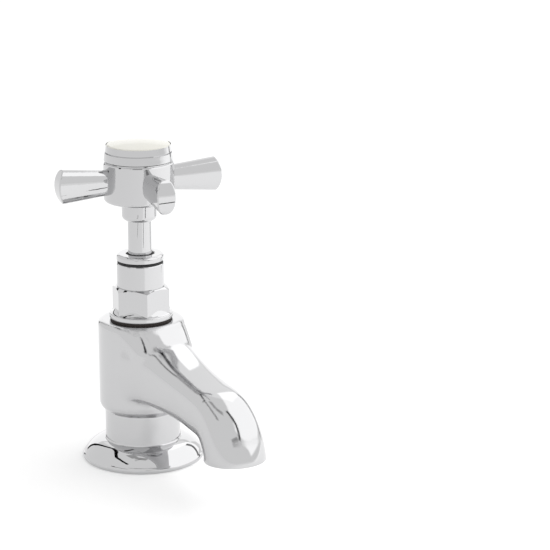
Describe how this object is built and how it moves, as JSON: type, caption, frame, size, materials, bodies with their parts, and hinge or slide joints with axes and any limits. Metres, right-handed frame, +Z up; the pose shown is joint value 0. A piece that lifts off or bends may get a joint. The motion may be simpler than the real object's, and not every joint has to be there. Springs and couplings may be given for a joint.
{
  "type": "cross handle tap",
  "caption": "Chrome bath tap with a cross handle, a domed ceramic index, a curved spout and a screw-down valve, fixed through a deck by its threaded tail.",
  "frame": {"origin": "centre of the base flange's underside, on the deck", "axes": "+Z up along the spindle, -Y forward along the spout, +X to the side; closed at rest"},
  "size_m": [0.068, 0.1134, 0.1805],
  "materials": {
    "polished_chrome": "polished chrome plate on brass",
    "plain_brass": "turned brass",
    "plain_steel": "zinc plated steel",
    "black_rubber": "matt rubber",
    "dark_fibre": "pressed fibre",
    "gland_packing": "waxed cord, pressed",
    "white_ceramic": "glazed ceramic, warm white"
  },
  "bodies": {
    "tap_body": {"body_casting": "polished_chrome", "base_collar": "polished_chrome", "base_seal": "black_rubber", "clamp_washer": "plain_steel", "back_nut": "plain_brass", "bonnet": "polished_chrome", "bonnet_washer": "dark_fibre", "gland_nut": "polished_chrome", "gland_packing": "gland_packing", "packing_washer": "plain_brass"},
    "valve": {"jumper_valve": "plain_brass", "valve_washer": "black_rubber", "washer_nut": "plain_brass"},
    "handle": {"spindle": "polished_chrome", "handle_hub": "polished_chrome", "handle_arm_1": "polished_chrome", "handle_arm_2": "polished_chrome", "handle_arm_3": "polished_chrome", "handle_arm_4": "polished_chrome", "handle_screw": "plain_steel", "screw_washer": "plain_steel", "index_ring": "polished_chrome", "index_cushion": "black_rubber", "ceramic_index": "white_ceramic"}
  },
  "joints": [
    {"name": "spindle_rise", "type": "slide", "parent": "tap_body", "child": "valve", "axis": [0, 0, 1], "range_m": [0, 0.005]},
    {"name": "handle_turn", "type": "hinge", "parent": "valve", "child": "handle", "pos_m": [0, 0, 0.1], "axis": [0, 0, 1], "range_deg": [0, 720]}
  ],
  "couplings": [
    {"joint": "spindle_rise", "follows": "handle_turn", "m_per_rad": 0.00039789}
  ]
}
